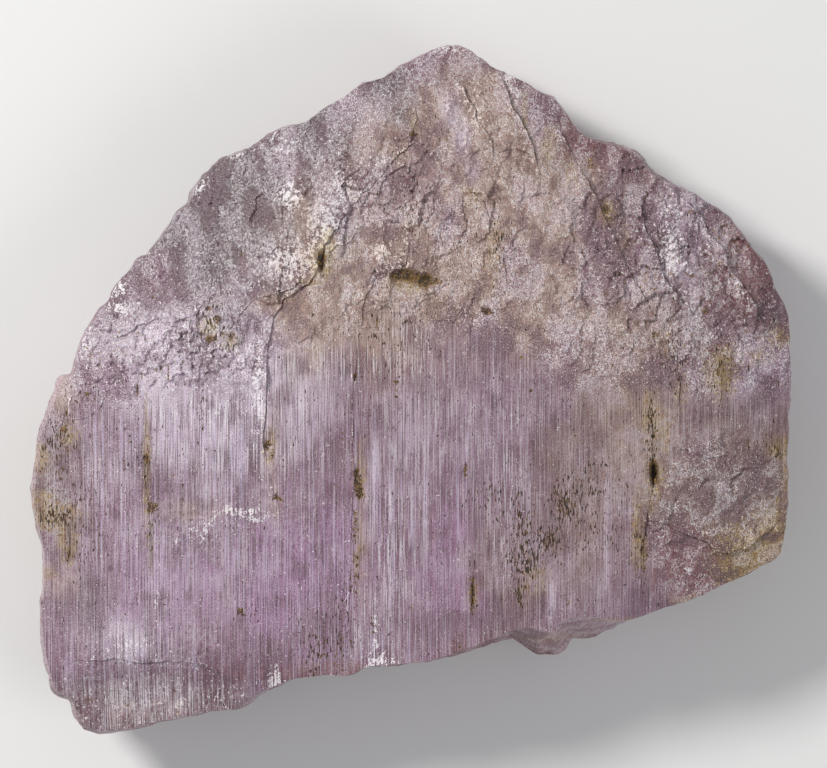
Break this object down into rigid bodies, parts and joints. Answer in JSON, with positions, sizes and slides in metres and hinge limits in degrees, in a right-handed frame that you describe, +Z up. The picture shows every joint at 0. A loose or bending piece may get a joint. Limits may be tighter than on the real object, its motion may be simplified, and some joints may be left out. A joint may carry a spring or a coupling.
{
  "type": "kunzite crystal",
  "caption": "Rough translucent lilac kunzite crystal, a thick striated plate with a worn pointed tip, lying on its broad back face.",
  "frame": {"origin": "middle of the bounding box, on the surface that the crystal lies on", "axes": "+X across the plate, +Y along the crystal's c axis and striations towards its tip, +Z up through the thickness, out of the striated front face"},
  "size_m": [0.1099, 0.0998, 0.0288],
  "materials": {
    "kunzite": "translucent lilac, finely striated and frosted, with clay in its pits"
  },
  "bodies": {
    "root": {"crystal": "kunzite"}
  },
  "joints": []
}
